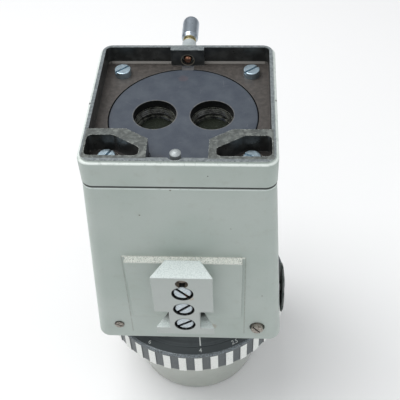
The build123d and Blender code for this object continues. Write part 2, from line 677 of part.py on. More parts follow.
with BuildPart() as lower_groove:
    with BuildLine() as lower_path:
        Helix(pitch=LEAD, height=GROOVE_H, radius=DRUM_R - 1.0,
              center=(0, DRUM_Y, LOW_Z + CAR_T / 2 - GROOVE_H / 2), lefthand=True)
    start = lower_path.line @ 0
    with BuildSketch(Plane(origin=start, x_dir=(start.X, start.Y - DRUM_Y, 0), z_dir=lower_path.line % 0)):
        Rectangle(4.6, 2.9)
    sweep(path=lower_path.line, is_frenet=True)

HALF_TURN = 360 * GROOVE_TURNS / 2
upper_cutter = upper_groove.part.rotate(DRUM_AX, -90 - HALF_TURN)
lower_cutter = lower_groove.part.rotate(DRUM_AX, -90 + HALF_TURN)

with BuildPart() as cam_drum:
    with BuildSketch(Plane.XY.offset(-97.8)):
        with Locations((0, DRUM_Y)):
            Circle(DRUM_R)
    extrude(amount=70.8)
    with BuildSketch(Plane.XY.offset(-108.0)):
        with Locations((0, DRUM_Y)):
            Circle(3.0)
    extrude(amount=97.0)
    add(upper_cutter, mode=Mode.SUBTRACT)
    add(lower_cutter, mode=Mode.SUBTRACT)

M2 = 0.6
with BuildPart() as cam_gear:
    with BuildSketch(Plane.XY.offset(-101.5)):
        with BuildLine():
            Polyline(*[(x, y + DRUM_Y) for x, y in gear_points(24, 7.2 + 0.48, 7.2 - 0.72, 0.17, 0.52,
                                                                 math.pi / 2 + math.pi / 24)], close=True)
        make_face()
        with Locations((0, DRUM_Y)):
            Circle(3.02, mode=Mode.SUBTRACT)
    extrude(amount=3.0)

# ------------------------------------------------------------------ pinion shaft
with BuildPart() as pinion_shaft:
    with BuildSketch(Plane.XY.offset(-119.0)):
        with Locations((0, PIN_Y)):
            Circle(2.5)
    extrude(amount=21.5)

with BuildPart() as transfer_gear:
    with BuildSketch(Plane.XY.offset(-101.5)):
        with BuildLine():
            Polyline(*[(x, y + PIN_Y) for x, y in gear_points(15, 4.5 + 0.48, 4.5 - 0.72, 0.17, 0.50,
                                                                -math.pi / 2)], close=True)
        make_face()
        with Locations((0, PIN_Y)):
            Circle(2.52, mode=Mode.SUBTRACT)
    extrude(amount=3.0)

with BuildPart() as zoom_pinion:
    with BuildSketch(Plane.XY.offset(-118.8)):
        with BuildLine():
            Polyline(*[(x, y + PIN_Y) for x, y in gear_points(14, 7.0 + 0.8, 7.0 - 1.2, 0.28, 0.85,
                                                                math.pi / 2)], close=True)
        make_face()
        with Locations((0, PIN_Y)):
            Circle(2.52, mode=Mode.SUBTRACT)
    extrude(amount=3.4)

# ------------------------------------------------------------------ index collar and zoom ring
COLLAR = [(33.0, -109.0), (41.5, -109.0), (41.5, -110.0), (45.9, -114.4), (45.5, -114.6), (40.0, -114.6),
          (40.0, -131.5), (33.0, -131.5)]
with BuildPart() as index_collar:
    add(revolve(ring_profile(COLLAR).sketch, axis=Axis((0, AX_Y, 0), (0, 0, 1)), mode=Mode.PRIVATE))
    # window that lets the pinion reach the ring gear
    with BuildSketch(Plane.XY.offset(-119.4)):
        with Locations((0, PIN_Y)):
            Circle(8.4)
    extrude(amount=4.6, mode=Mode.SUBTRACT)
    with BuildSketch(Plane.XY.offset(-119.4)):
        with Locations((0, PIN_Y)):
            Circle(3.0)
    extrude(amount=11, mode=Mode.SUBTRACT)
    with BuildSketch(Plane.XY.offset(-131.5)):
        with Locations((0, AX_Y)):
            with PolarLocations(36.5, 3, 30):
                Circle(1.0)
    extrude(amount=6, mode=Mode.SUBTRACT)
    with BuildSketch(Plane.XY.offset(-131.5)):
        with Locations((0, AX_Y)):
            with PolarLocations(36.5, 3, 60):
                Circle(2.6)
    extrude(amount=18.5, mode=Mode.SUBTRACT)
    with BuildSketch(Plane.XY.offset(-131.5)):
        with Locations((0, AX_Y)):
            with PolarLocations(36.5, 3, 60):
                Circle(1.3)
    extrude(amount=23, mode=Mode.SUBTRACT)

with BuildPart() as collar_screws:
    with BuildSketch(Plane.XY.offset(-114.9)):
        with Locations((0, AX_Y)):
            with PolarLocations(36.5, 3, 60):
                Circle(2.4)
    extrude(amount=1.9)
    with BuildSketch(Plane.XY.offset(-113.0)):
        with Locations((0, AX_Y)):
            with PolarLocations(36.5, 3, 60):
                Circle(1.22)
    extrude(amount=8.0)

RING = [(40.05, -131.4), (45.0, -131.4), (45.0, -132.9), (48.7, -132.9), (49.8, -131.8), (49.8, -117.8), (49.2, -117.1), (48.6, -117.1),
        (46.3, -114.8), (44.3, -114.8), (44.3, -119.3), (40.05, -119.3)]
with BuildPart() as zoom_ring:
    add(revolve(ring_profile(RING).sketch, axis=Axis((0, AX_Y, 0), (0, 0, 1)), mode=Mode.PRIVATE))


def internal_gear_points(n, tip, root, w_tip, w_root, phase):
    pts = []
    for i in range(n):
        a = phase + 2 * math.pi * i / n
        for r, w in ((root, -w_root), (tip, -w_tip), (tip, w_tip), (root, w_root)):
            b = a + math.asin(w / r)
            pts.append((r * math.cos(b), r * math.sin(b)))
    return pts


with BuildPart() as ring_gear:
    with BuildSketch(Plane.XY.offset(-119.2)):
        with Locations((0, AX_Y)):
            Circle(44.25)
        with BuildLine():
            Polyline(*[(x, y + AX_Y) for x, y in internal_gear_points(84, 41.2, 43.2, 0.28, 0.85,
                                                                        math.pi / 2 + math.pi / 84)], close=True)
        make_face(mode=Mode.SUBTRACT)
    extrude(amount=4.2)

with BuildPart() as ring_retainer:
    with BuildSketch(Plane.XY.offset(-133.2)):
        with Locations((0, AX_Y)):
            Circle(43.5)
            Circle(33.0, mode=Mode.SUBTRACT)
            with PolarLocations(36.5, 3, 30):
                Circle(1.15, mode=Mode.SUBTRACT)
    extrude(amount=1.7)

with BuildPart() as retainer_screws:
    with BuildSketch(Plane.XY.offset(-134.5)):
        with Locations((0, AX_Y)):
            with PolarLocations(36.5, 3, 30):
                Circle(2.0)
    extrude(amount=1.3)
    with BuildSketch(Plane.XY.offset(-133.2)):
        with Locations((0, AX_Y)):
            with PolarLocations(36.5, 3, 30):
                Circle(0.98)
    extrude(amount=6.5)

# ------------------------------------------------------------------ objective
BARREL = [(28.0, -121.0), (32.8, -121.0), (32.8, -134.9), (40.5, -134.9), (40.5, -138.5), (36.2, -143.0),
          (34.8, -146.0), (34.6, -178.0), (33.4, -179.2), (29.6, -179.2), (29.6, -172.0), (27.0, -172.0), (27.0, -164.0),
          (25.0, -163.5), (25.0, -136.0), (28.0, -136.0)]
with BuildPart() as objective_barrel:
    add(revolve(ring_profile(BARREL).sketch, axis=Axis((0, AX_Y, 0), (0, 0, 1)), mode=Mode.PRIVATE))

with BuildPart() as objective_rear_lens:
    with BuildSketch(Plane(origin=(0, AX_Y, 0), x_dir=(1, 0, 0), z_dir=(0, -1, 0))):
        lens_face(27.9, -136.0, -130.5, 2.0, 0)
    revolve(axis=Axis((0, AX_Y, 0), (0, 0, 1)))

with BuildPart() as rear_lens_ring:
    with BuildSketch(Plane.XY.offset(-130.2)):
        with Locations((0, AX_Y)):
            Circle(27.95)
            Circle(26.0, mode=Mode.SUBTRACT)
    extrude(amount=2.6)

with BuildPart() as objective_front_lens:
    with BuildSketch(Plane(origin=(0, AX_Y, 0), x_dir=(1, 0, 0), z_dir=(0, -1, 0))):
        lens_face(26.95, -169.5, -164.0, 0, 1.8)
    revolve(axis=Axis((0, AX_Y, 0), (0, 0, 1)))

with BuildPart() as front_lens_ring:
    with BuildSketch(Plane.XY.offset(-171.9)):
        with Locations((0, AX_Y)):
            Circle(26.95)
            Circle(25.2, mode=Mode.SUBTRACT)
    extrude(amount=2.1)

# ------------------------------------------------------------------ aperture stop with its knob
STOP_TRAVEL = 11.5
RACK_PITCH_Z = KNOB_Z - 4.8

with BuildPart() as stop_slide:
    with BuildSketch(Plane.XY.offset(-103.9)):
        with Locations((3.25, 3.0)):
            Rectangle(50.5, 34.0)
        with Locations((-PORT_X, AX_Y), (PORT_X, AX_Y)):
            Circle(7.8, mode=Mode.SUBTRACT)
        with Locations((-PORT_X, AX_Y + STOP_TRAVEL), (PORT_X, AX_Y + STOP_TRAVEL)):
            Circle(2.6, mode=Mode.SUBTRACT)
        with Locations((0, 6.0)):
            Rectangle(5.2, 34.0, mode=Mode.SUBTRACT)
        with Locations((26.5, -18.0)):
            Rectangle(4.0, 17.0)
    extrude(amount=2.0)
    with BuildSketch(Plane(origin=(24.5, 0, 0), x_dir=(0, 1, 0), z_dir=(1, 0, 0))):
        with BuildLine():
            pts = [(-26.5, -101.9), (-26.5, RACK_PITCH_Z - 0.96)]
            c = math.pi * 0.8
            for i in range(-1, 6):
                y0 = KNOB_Y + c * (i + 0.5)
                pts += [(y0 - 0.66, RACK_PITCH_Z - 0.96), (y0 - 0.26, RACK_PITCH_Z + 0.62),
                        (y0 + 0.26, RACK_PITCH_Z + 0.62), (y0 + 0.66, RACK_PITCH_Z - 0.96)]
            pts += [(-8.0, RACK_PITCH_Z - 0.96), (-8.0, -101.9)]
            Polyline(*pts, close=True)
        make_face()
    extrude(amount=4.0)

with BuildPart() as stop_slide_rails:
    with BuildSketch(Plane.XY.offset(-104.0)):
        with Locations((-24.1, 1.0)):
            Rectangle(4.0, 44.0)
        with Locations((30.1, 3.0)):
            Rectangle(3.0, 40.0)
    extrude(amount=2.3)
    with BuildSketch(Plane.XY.offset(-101.7)):
        with Locations((-23.6, 1.0)):
            Rectangle(5.0, 44.0)
    extrude(amount=1.2)

with BuildPart() as knob_pinion:
    with BuildSketch(Plane(origin=(24.5, KNOB_Y, KNOB_Z), x_dir=(0, 1, 0), z_dir=(1, 0, 0))):
        with BuildLine():
            Polyline(*gear_points(12, 4.8 + 0.62, 4.8 - 0.96, 0.24, 0.68, -math.pi / 2), close=True)
        make_face()
        Circle(2.02, mode=Mode.SUBTRACT)
    extrude(amount=4.0)

with BuildPart() as knob_shaft:
    with BuildSketch(Plane(origin=(24.0, KNOB_Y, KNOB_Z), x_dir=(0, 1, 0), z_dir=(1, 0, 0))):
        Circle(2.0)
    extrude(amount=21.0)

with BuildPart() as knob_bracket:
    with BuildSketch(Plane(origin=(32.2, KNOB_Y, 0), x_dir=(0, 1, 0), z_dir=(1, 0, 0))):
        with BuildLine():
            Polyline((-5, -104.0), (5, -104.0), (5, -88.0), (3, -85.0), (-3, -85.0), (-5, -88.0), close=True)
        make_face()
        with Locations((0, KNOB_Z)):
            Circle(2.0 + RUN, mode=Mode.SUBTRACT)
    extrude(amount=2.6)
    with BuildSketch(Plane.XY.offset(-104.0)):
        with Locations((37.0, KNOB_Y)):
            Rectangle(6.0, 10.0)
    extrude(amount=2.4)
    with BuildSketch(Plane.XY.offset(-104.0)):
        with Locations((37.6, KNOB_Y)):
            Circle(1.3, mode=Mode.ADD)
    extrude(amount=2.4, mode=Mode.SUBTRACT)

with BuildPart() as bracket_foot_screw:
    with BuildSketch(Plane.XY.offset(-101.6)):
        with Locations((37.6, KNOB_Y)):
            Circle(2.1)
    extrude(amount=1.6)
    with BuildSketch(Plane.XY.offset(-103.9)):
        with Locations((37.6, KNOB_Y)):
            Circle(1.25)
    extrude(amount=2.3)
    with BuildSketch(Plane.XY.offset(-100.8)):
        with Locations((37.6, KNOB_Y)):
            Rectangle(6, 0.7)
    extrude(amount=1.6, mode=Mode.SUBTRACT)

with BuildPart() as knob_bush:
    with BuildSketch(Plane(origin=(40.4, KNOB_Y, KNOB_Z), x_dir=(0, 1, 0), z_dir=(1, 0, 0))):
        Circle(3.95)
        Circle(2.0 + RUN, mode=Mode.SUBTRACT)
    extrude(amount=3.8)
    with BuildSketch(Plane(origin=(39.2, KNOB_Y, KNOB_Z), x_dir=(0, 1, 0), z_dir=(1, 0, 0))):
        Circle(6.0)
        Circle(2.0 + RUN, mode=Mode.SUBTRACT)
    extrude(amount=1.8)

with BuildPart() as stop_knob:
    with BuildSketch(Plane(origin=(0, KNOB_Y, KNOB_Z), x_dir=(1, 0, 0), z_dir=(0, -1, 0))):
        with BuildLine():
            Polyline((45.0, 0), (45.0, 3.0), (45.35, 3.0), (45.35, 12.2), (45.8, 12.2), (46.4, 11.2), (46.7, 9.2),
                     (46.7, 7.0), (46.3, 6.4), (46.3, 0), close=True)
        make_face()
    revolve(axis=Axis((0, KNOB_Y, KNOB_Z), (1, 0, 0)))
    with BuildSketch(Plane(origin=(45.2, KNOB_Y, KNOB_Z), x_dir=(0, 1, 0), z_dir=(1, 0, 0))):
        with PolarLocations(14.3, 10):
            Circle(3.0)
    extrude(amount=3, mode=Mode.SUBTRACT)

# ------------------------------------------------------------------ export
pieces = dict(
    tray_frame=tray_frame, seat_plate=seat_plate, seat_plate_screws=seat_plate_screws, tray_screws=tray_screws,
    locating_pin=locating_pin, clamp_bush=clamp_bush, clamp_spindle=clamp_spindle,
    clamp_neck_ring=clamp_neck_ring, clamp_knob=clamp_knob, plunger_tip=plunger_tip, main_housing=main_housing,
    dovetail_block=dovetail_block, dovetail_screws=dovetail_screws, stop_pin=stop_pin,
    chassis_screws=chassis_screws, port_cell_left=port_cell_left, port_cell_right=port_cell_right,
    relay_lens_left=relay_lens_left, relay_lens_right=relay_lens_right,
    port_retaining_rings=port_retaining_rings, rod_bracket=rod_bracket, bracket_screws=bracket_screws,
    guide_rods=guide_rods, base_plate=base_plate, base_plate_screws=base_plate_screws,
    upper_carriage=upper_carriage, lower_carriage=lower_carriage, upper_zoom_lenses=upper_zoom_lenses,
    lower_zoom_lenses=lower_zoom_lenses, upper_lens_rings=upper_lens_rings, lower_lens_rings=lower_lens_rings,
    upper_follower_pin=upper_follower_pin, lower_follower_pin=lower_follower_pin, cam_drum=cam_drum,
    cam_gear=cam_gear, pinion_shaft=pinion_shaft, transfer_gear=transfer_gear, zoom_pinion=zoom_pinion,
    index_collar=index_collar, collar_screws=collar_screws, zoom_ring=zoom_ring, ring_gear=ring_gear,
    ring_retainer=ring_retainer, retainer_screws=retainer_screws, objective_barrel=objective_barrel,
    objective_rear_lens=objective_rear_lens, rear_lens_ring=rear_lens_ring,
    objective_front_lens=objective_front_lens, front_lens_ring=front_lens_ring, stop_slide=stop_slide,
    stop_slide_rails=stop_slide_rails, knob_pinion=knob_pinion, knob_shaft=knob_shaft, knob_bracket=knob_bracket,
    bracket_foot_screw=bracket_foot_screw, knob_bush=knob_bush, stop_knob=stop_knob,
)
for label, piece in pieces.items():
    piece.part.label = label
    export_step(piece.part, f"parts/{label}.step")
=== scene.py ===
import json
import math

import bmesh
import bpy
from mathutils import Matrix, Vector


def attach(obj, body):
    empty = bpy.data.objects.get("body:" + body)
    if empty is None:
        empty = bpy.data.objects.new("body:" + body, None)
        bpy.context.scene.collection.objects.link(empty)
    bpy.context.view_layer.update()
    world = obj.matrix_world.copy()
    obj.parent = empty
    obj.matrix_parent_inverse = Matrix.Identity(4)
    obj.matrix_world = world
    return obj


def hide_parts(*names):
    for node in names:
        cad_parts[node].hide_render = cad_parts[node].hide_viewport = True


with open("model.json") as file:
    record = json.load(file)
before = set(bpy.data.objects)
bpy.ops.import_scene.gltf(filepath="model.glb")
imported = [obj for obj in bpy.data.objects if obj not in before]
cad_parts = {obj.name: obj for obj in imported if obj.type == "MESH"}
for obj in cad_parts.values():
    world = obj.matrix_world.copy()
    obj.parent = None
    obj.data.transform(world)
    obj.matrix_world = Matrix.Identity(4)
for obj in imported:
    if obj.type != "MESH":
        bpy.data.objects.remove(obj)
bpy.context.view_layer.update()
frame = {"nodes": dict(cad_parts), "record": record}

nodes = frame["nodes"]
scene = bpy.context.scene
MM = 0.001
AX_Y = 0.8


def lin(r, g, b):
    """linear colour from 0-255 display values"""
    out = []
    for c in (r, g, b):
        c /= 255.0
        out.append(c / 12.92 if c <= 0.04045 else ((c + 0.055) / 1.055) ** 2.4)
    return (*out, 1.0)


# ------------------------------------------------------------------ camera
cam_data = bpy.data.cameras.new("camera")
cam_data.sensor_width = 36.0
cam_data.sensor_fit = "HORIZONTAL"
cam_data.lens = 63.744
cam_data.clip_start = 0.01
cam_data.clip_end = 20.0
cam = bpy.data.objects.new("camera", cam_data)
scene.collection.objects.link(cam)
right = Vector((0.99837, 0.04668, -0.03295)).normalized()
forward = Vector((-0.05577, 0.6704, -0.7399)).normalized()
up = right.cross(forward).normalized()
right = forward.cross(up).normalized()
cam.matrix_world = Matrix.Translation((0.02451, -0.22954, 0.19987)) @ Matrix((right, up, -forward)).transposed().to_4x4()
scene.camera = cam

# ------------------------------------------------------------------ light and floor
world = bpy.data.worlds.new("studio")
scene.world = world
world.use_nodes = True
wt = world.node_tree
wt.nodes.clear()
w_out = wt.nodes.new("ShaderNodeOutputWorld")
w_bg = wt.nodes.new("ShaderNodeBackground")
w_tc = wt.nodes.new("ShaderNodeTexCoord")
w_sep = wt.nodes.new("ShaderNodeSeparateXYZ")
w_map = wt.nodes.new("ShaderNodeMapRange")
w_mix = wt.nodes.new("ShaderNodeMix")
w_mix.data_type = "RGBA"
w_mix.inputs["A"].default_value = (0.34, 0.36, 0.38, 1)
w_mix.inputs["B"].default_value = (1.0, 1.01, 1.02, 1)
w_map.inputs["From Min"].default_value = -0.05
w_map.inputs["From Max"].default_value = 0.75
w_map.interpolation_type = "SMOOTHSTEP"
wt.links.new(w_tc.outputs["Generated"], w_sep.inputs[0])
wt.links.new(w_sep.outputs["Z"], w_map.inputs["Value"])
wt.links.new(w_map.outputs["Result"], w_mix.inputs["Factor"])
wt.links.new(w_mix.outputs["Result"], w_bg.inputs["Color"])
w_bg.inputs["Strength"].default_value = 0.55
wt.links.new(w_bg.outputs[0], w_out.inputs["Surface"])


def area(name, loc, target, size, power, colour=(1, 1, 1)):
    d = bpy.data.lights.new(name, "AREA")
    d.shape = "RECTANGLE"
    d.size, d.size_y = size
    d.energy = power
    d.color = colour
    o = bpy.data.objects.new(name, d)
    scene.collection.objects.link(o)
    o.location = loc
    o.rotation_euler = (Vector(target) - Vector(loc)).to_track_quat("-Z", "Y").to_euler()
    return o


area("key", (-0.35, 0.10, 0.85), (0, 0, -0.05), (0.75, 0.75), 7.5)
area("fill_right", (0.8, -0.35, 0.45), (0, 0, -0.08), (0.5, 0.9), 1.3, (0.93, 0.97, 1.0))
area("strip_front", (-0.15, -0.85, 0.75), (0, 0, -0.05), (0.9, 0.25), 1.0)

floor_mesh = bpy.data.meshes.new("floor")
bm = bmesh.new()
bmesh.ops.create_grid(bm, x_segments=2, y_segments=2, size=6.0)
bm.to_mesh(floor_mesh)
bm.free()
floor = bpy.data.objects.new("floor", floor_mesh)
scene.collection.objects.link(floor)
floor.location = (0, 0, -0.17925)
floor_mat = bpy.data.materials.new("floor")
floor_mat.use_nodes = True
fb = floor_mat.node_tree.nodes["Principled BSDF"]
fb.inputs["Base Color"].default_value = (0.93, 0.93, 0.93, 1)
fb.inputs["Roughness"].default_value = 0.9
fb.inputs["Specular IOR Level"].default_value = 0.1
floor_mesh.materials.append(floor_mat)
scene.view_settings.view_transform = "Standard"


# ------------------------------------------------------------------ materials
class Mat:
    """a procedural material in millimetres of the row frame"""

    def __init__(s, name, metallic=0.0, rough=0.5, coat=0.0, coat_rough=0.1, spec=0.5):
        s.m = bpy.data.materials.new(name)
        s.m.use_nodes = True
        s.t = s.m.node_tree
        s.t.nodes.clear()
        out = s.node("ShaderNodeOutputMaterial")
        s.b = s.node("ShaderNodeBsdfPrincipled")
        s.t.links.new(s.b.outputs["BSDF"], out.inputs["Surface"])
        s.b.inputs["Metallic"].default_value = metallic
        s.b.inputs["Roughness"].default_value = rough
        s.b.inputs["Coat Weight"].default_value = coat
        s.b.inputs["Coat Roughness"].default_value = coat_rough
        s.b.inputs["Specular IOR Level"].default_value = spec
        tc = s.node("ShaderNodeTexCoord")
        v = s.node("ShaderNodeVectorMath")
        v.operation = "SCALE"
        v.inputs["Scale"].default_value = 1000.0
        s.t.links.new(tc.outputs["Object"], v.inputs[0])
        s.P = v.outputs[0]
        s.x, s.y, s.z = s.split(s.P)
        s.nx, s.ny, s.nz = s.split(tc.outputs["Normal"])

    def node(s, kind):
        return s.t.nodes.new(kind)

    def put(s, sock, v):
        if hasattr(v, "is_output"):
            s.t.links.new(v, sock)
        else:
            sock.default_value = v

    def split(s, v):
        n = s.node("ShaderNodeSeparateXYZ")
        s.t.links.new(v, n.inputs[0])
        return n.outputs[0], n.outputs[1], n.outputs[2]

    def join(s, x, y, z):
        n = s.node("ShaderNodeCombineXYZ")
        for i, v in enumerate((x, y, z)):
            s.put(n.inputs[i], v)
        return n.outputs[0]

    def mth(s, op, a, b=None, c=None):
        n = s.node("ShaderNodeMath")
        n.operation = op
        s.put(n.inputs[0], a)
        if b is not None:
            s.put(n.inputs[1], b)
        if c is not None:
            s.put(n.inputs[2], c)
        return n.outputs[0]

    def mul(s, *v):
        o = v[0]
        for w in v[1:]:
            o = s.mth("MULTIPLY", o, w)
        return o

    def add(s, a, b):
        return s.mth("ADD", a, b)

    def sub(s, a, b):
        return s.mth("SUBTRACT", a, b)

    def absv(s, a):
        return s.mth("ABSOLUTE", a)

    def inv(s, a):
        return s.mth("SUBTRACT", 1.0, a)

    def step(s, v, a, b, lo=0.0, hi=1.0):
        """smooth change from lo at a to hi at b"""
        n = s.node("ShaderNodeMapRange")
        n.interpolation_type = "SMOOTHSTEP"
        s.put(n.inputs["Value"], v)
        if a > b:
            a, b, lo, hi = b, a, hi, lo
        n.inputs["From Min"].default_value = a
        n.inputs["From Max"].default_value = b
        n.inputs["To Min"].default_value = lo
        n.inputs["To Max"].default_value = hi
        return n.outputs["Result"]

    def band(s, v, a, b, soft=0.1):
        return s.mul(s.step(v, a - soft, a + soft), s.step(v, b + soft, b - soft))

    def mix(s, f, a, b):
        n = s.node("ShaderNodeMix")
        n.data_type = "RGBA"
        s.put(n.inputs["Factor"], f)
        s.put(n.inputs["A"], a)
        s.put(n.inputs["B"], b)
        return n.outputs["Result"]

    def noise(s, scale, detail=3.0, rough=0.55, vec=None, dist=0.0):
        n = s.node("ShaderNodeTexNoise")
        s.t.links.new(vec or s.P, n.inputs["Vector"])
        n.inputs["Scale"].default_value = scale
        n.inputs["Detail"].default_value = detail
        n.inputs["Roughness"].default_value = rough
        n.inputs["Distortion"].default_value = dist
        return n.outputs[0]

    def stretch(s, x=1.0, y=1.0, z=1.0):
        n = s.node("ShaderNodeVectorMath")
        n.operation = "MULTIPLY"
        s.t.links.new(s.P, n.inputs[0])
        n.inputs[1].default_value = (x, y, z)
        return n.outputs[0]

    def cells(s, scale, feature="F1", vec=None):
        n = s.node("ShaderNodeTexVoronoi")
        n.feature = feature
        s.t.links.new(vec or s.P, n.inputs["Vector"])
        n.inputs["Scale"].default_value = scale
        return n.outputs["Distance"]

    def edge(s, radius, lo=0.02, hi=0.25):
        """1 on sharp edges, 0 away from them"""
        b = s.node("ShaderNodeBevel")
        b.samples = 4
        b.inputs["Radius"].default_value = radius * MM
        g = s.node("ShaderNodeNewGeometry")
        d = s.node("ShaderNodeVectorMath")
        d.operation = "DOT_PRODUCT"
        s.t.links.new(b.outputs[0], d.inputs[0])
        s.t.links.new(g.outputs["Normal"], d.inputs[1])
        return s.step(s.inv(d.outputs["Value"]), lo, hi)

    def spot(s, x, y, z, r, ragged=0.35):
        """ragged spot of radius r mm at a point"""
        n = s.node("ShaderNodeVectorMath")
        n.operation = "DISTANCE"
        s.t.links.new(s.P, n.inputs[0])
        n.inputs[1].default_value = (x, y, z)
        d = s.add(n.outputs["Value"], s.mul(s.sub(s.noise(1.6, 3.0), 0.5), 2 * ragged * r))
        return s.step(d, r * 1.08, r * 0.82)

    def radius(s, cx, cy, a, b):
        """distance from an axis: a and b are the two coordinates across it"""
        dx, dy = s.sub(a, cx), s.sub(b, cy)
        return s.mth("SQRT", s.add(s.mul(dx, dx), s.mul(dy, dy)))

    def colour(s, v):
        s.put(s.b.inputs["Base Color"], v)

    def rough(s, v):
        s.put(s.b.inputs["Roughness"], v)

    def metal(s, v):
        s.put(s.b.inputs["Metallic"], v)

    def bump(s, *layers, rounded=None):
        """layers of (height, strength, distance in mm)"""
        normal = None
        if rounded:
            b = s.node("ShaderNodeBevel")
            b.samples = 6
            b.inputs["Radius"].default_value = rounded * MM
            normal = b.outputs[0]
        for h, strength, dist in layers:
            n = s.node("ShaderNodeBump")
            n.inputs["Strength"].default_value = strength
            n.inputs["Distance"].default_value = dist * MM
            s.t.links.new(h, n.inputs["Height"])
            if normal is not None:
                s.t.links.new(normal, n.inputs["Normal"])
            normal = n.outputs[0]
        s.t.links.new(normal, s.b.inputs["Normal"])


PAINT = lin(180, 190, 184)
PAINT_DARK = lin(160, 170, 165)
BARE = lin(222, 226, 222)


def paint_base(m):
    """light grey-green enamel: slow colour drift, faint grime, orange peel"""
    drift = m.noise(0.03, 2.0)
    grime = m.noise(0.22, 4.0, 0.6)
    col = m.mix(m.step(drift, 0.3, 0.7), PAINT, lin(172, 184, 177))
    col = m.mix(m.mul(m.step(grime, 0.52, 0.78), 0.25), col, lin(158, 162, 152))
    fine = m.noise(2.2, 3.0)
    col = m.mix(m.mul(m.step(fine, 0.5, 0.85), 0.24), col, lin(205, 212, 206))
    return col, m.noise(0.9, 2.0), fine


# main housing --------------------------------------------------------------
m = Mat("housing_enamel", rough=0.42, coat=0.25, coat_rough=0.3)
col, peel, fine = paint_base(m)
# painted highlight on the upward top edge of the raised pad, broken up by speckle, with darker specks
pad_top = m.mul(m.band(m.z, -48.15, -47.1, 0.12), m.step(m.y, -38.0, -39.5), m.band(m.x, -27.4, 27.4, 0.3))
speck = m.noise(1.9, 3.0, 0.7)
pad_top_highlight = m.mul(pad_top, m.step(speck, 0.34, 0.5))
col = m.mix(pad_top_highlight, col, lin(232, 234, 226))
dots = m.mul(pad_top, m.step(m.noise(2.7, 2.0), 0.57, 0.66))
col = m.mix(dots, col, lin(150, 152, 142))
# outline of the pad: painted shade line along its sides
pad_side = m.mul(m.band(m.z, -104.0, -47.2, 0.3), m.step(m.y, -37.5, -38.5))
pad_side_shade_line = m.mul(m.band(m.absv(m.x), 27.25, 27.75, 0.12), m.step(m.noise(0.5, 4.0, 0.7), 0.3, 0.55), pad_side)
col = m.mix(m.mul(pad_side_shade_line, 0.45), col, lin(120, 120, 108))
# chips and stains
for sx, sy, sz, r in ((-3.3, -37.1, -7.0, 0.45), (4.1, -37.1, -6.6, 0.3), (-17.0, -37.9, -21.5, 0.4), (21.0, -38.5, -29.0, 0.3),
                      (41.6, -41.6, -84.0, 0.5), (-26.9, -42.5, -57.0, 0.5), (-27.1, -42.5, -60.0, 0.7), (35.5, -40.8, -74.0, 0.35)):
    col = m.mix(m.spot(sx, sy, sz, r), col, lin(112, 110, 100))
stain = m.mul(m.spot(12.3, -42.3, -98.5, 2.0, 0.6), 0.4)
col = m.mix(stain, col, lin(150, 128, 98))
# paint rubbed pale on the edges, lightened further as a painted highlight on the rounded edges
edge = m.edge(0.45)
edge_wear_and_highlight = m.mul(edge, m.step(m.noise(0.5, 4.0), 0.4, 0.62), 0.55)
col = m.mix(edge_wear_and_highlight, col, lin(214, 220, 214))
# painted shadow in the split seam under the tray, and a painted highlight on the housing's top edge below it
seam_shadow = m.step(m.z, -6.08, -5.9)
seam_highlight = m.mul(m.band(m.z, -6.85, -6.15, 0.1), m.step(m.noise(0.4, 4.0, 0.7), 0.2, 0.5))
col = m.mix(m.mul(seam_highlight, 0.7), col, lin(222, 232, 228))
col = m.mix(m.mul(seam_shadow, 0.9), col, lin(38, 42, 40))
# painted shadow on the pad between the guide lands, under the dovetail overhang
pad_notch_shadow = m.mul(m.band(m.z, -84.9, -71.2, 0.2), m.band(m.x, -13.0, 13.0, 1.0), m.step(m.y, -42.5, -42.65))
col = m.mix(m.mul(pad_notch_shadow, m.step(m.absv(m.x), 13.0, 8.0), 0.7), col, lin(60, 60, 52))
m.colour(col)
m.rough(m.step(m.noise(0.12, 3.0), 0.3, 0.7, 0.36, 0.48))
m.bump((peel, 0.18, 0.05), (fine, 0.08, 0.02), rounded=0.55)
housing_enamel = m.m

# tray ----------------------------------------------------------------------
m = Mat("tray_finish", rough=0.45, coat=0.2, coat_rough=0.25)
paint, peel, fine = paint_base(m)
ax = m.absv(m.x)
cdx = m.mth("MAXIMUM", m.sub(ax, 34.3), 0.0)
cdy = m.mth("MAXIMUM", m.mth("MAXIMUM", m.sub(-31.9, m.y), m.sub(m.y, 34.6)), 0.0)
inset = m.mth("SQRT", m.add(m.mul(cdx, cdx), m.mul(cdy, cdy)))
inside = m.step(inset, 3.95, 3.8)
top = m.step(m.z, 8.2, 8.45)
flat = m.step(m.nz, 0.55, 0.8)
# rim and rib tops: dark finish worn thin
rim = m.mix(m.step(m.noise(0.7, 4.0, 0.65), 0.4, 0.62), lin(96, 103, 106), lin(122, 129, 131))
grain = m.noise(1.0, 4.0, 0.7, vec=m.stretch(0.5, 4.0, 1.0))
rim = m.mix(m.mul(m.step(grain, 0.56, 0.72), 0.45), rim, lin(150, 156, 156))
rib = m.mul(m.step(m.y, -17.3, -17.6), m.step(ax, 11.8, 12.1), m.step(ax, 37.9, 37.6), m.step(m.y, -34.9, -34.6))
ribcol = m.mix(m.step(m.noise(0.45, 4.0, 0.7), 0.38, 0.66), lin(66, 70, 68), lin(98, 103, 100))
scratch = m.cells(0.22, "DISTANCE_TO_EDGE", vec=m.stretch(1.0, 1.6, 0.01))
scr = m.mul(m.step(scratch, 0.016, 0.004), m.step(m.noise(0.35, 2.0), 0.5, 0.62))
ribcol = m.mix(m.mul(scr, 0.7), ribcol, lin(190, 194, 188))
patch = m.mul(m.step(m.noise(0.28, 3.0), 0.56, 0.66), 0.5)
ribcol = m.mix(patch, ribcol, lin(128, 132, 128))
topcol = m.mix(rib, rim, ribcol)
# pale edges on the rim and rib tops: edge wear with a painted highlight
edge_in = m.edge(0.35)
rim_edge_wear_and_highlight = m.mul(edge_in, m.step(m.noise(0.9, 4.0, 0.7), 0.44, 0.58))
topcol = m.mix(m.mul(rim_edge_wear_and_highlight, m.add(0.45, m.mul(rib, 0.5))), topcol, lin(214, 218, 212))
